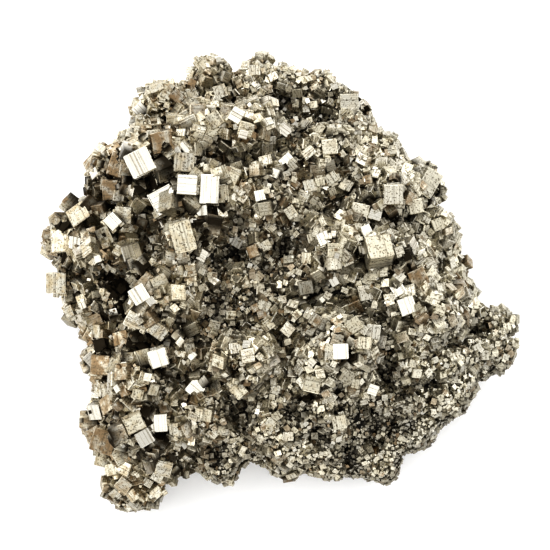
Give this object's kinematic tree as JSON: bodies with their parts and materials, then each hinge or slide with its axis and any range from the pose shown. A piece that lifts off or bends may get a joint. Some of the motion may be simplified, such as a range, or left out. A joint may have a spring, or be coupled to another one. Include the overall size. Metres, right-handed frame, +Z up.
{
  "type": "pyrite specimen",
  "caption": "Hand-sized cluster of brassy pyrite: a lumpy granular mass with a flat broken base, covered in striated cubic crystals.",
  "frame": {"origin": "on the flat base, under the middle of the specimen's outline", "axes": "+Z up out of the base, through the crystals; +X to the right and -Y to the front, as seen with the narrow foot of the outline at the front left"},
  "size_m": [0.1108, 0.1094, 0.0423],
  "materials": {
    "granular_pyrite": "dull metallic grains, rough",
    "crystal_pyrite": "pale brassy metallic, striated faces"
  },
  "bodies": {
    "root": {"left_crystal_1": "crystal_pyrite", "left_crystal_2": "crystal_pyrite", "left_crystal_3": "crystal_pyrite", "left_crystal_4": "crystal_pyrite", "left_crystal_5": "crystal_pyrite", "left_crystal_6": "crystal_pyrite", "lower_left_crystal_1": "crystal_pyrite", "lower_left_crystal_2": "crystal_pyrite", "lower_left_crystal_3": "crystal_pyrite", "lower_left_crystal_4": "crystal_pyrite", "lower_left_crystal_5": "crystal_pyrite", "lower_left_crystal_6": "crystal_pyrite", "massive_pyrite": "granular_pyrite", "north_crystal_1": "crystal_pyrite", "north_crystal_2": "crystal_pyrite", "north_crystal_3": "crystal_pyrite", "north_crystal_4": "crystal_pyrite", "right_crystal_1": "crystal_pyrite", "right_crystal_10": "crystal_pyrite", "right_crystal_2": "crystal_pyrite", "right_crystal_3": "crystal_pyrite", "right_crystal_4": "crystal_pyrite", "right_crystal_5": "crystal_pyrite", "right_crystal_6": "crystal_pyrite", "right_crystal_7": "crystal_pyrite", "right_crystal_8": "crystal_pyrite", "right_crystal_9": "crystal_pyrite", "south_crystal_1": "crystal_pyrite", "south_crystal_2": "crystal_pyrite", "south_crystal_3": "crystal_pyrite", "south_crystal_4": "crystal_pyrite", "south_crystal_5": "crystal_pyrite", "south_crystal_6": "crystal_pyrite", "upper_left_crystal_1": "crystal_pyrite", "upper_left_crystal_2": "crystal_pyrite", "upper_left_crystal_3": "crystal_pyrite", "upper_left_crystal_4": "crystal_pyrite", "upper_left_crystal_5": "crystal_pyrite", "upper_left_crystal_6": "crystal_pyrite", "upper_left_crystal_7": "crystal_pyrite", "upper_left_crystal_8": "crystal_pyrite", "upper_left_crystal_9": "crystal_pyrite", "west_crystal_1": "crystal_pyrite", "west_crystal_2": "crystal_pyrite", "west_crystal_3": "crystal_pyrite", "west_crystal_4": "crystal_pyrite", "west_crystal_5": "crystal_pyrite"}
  },
  "joints": []
}
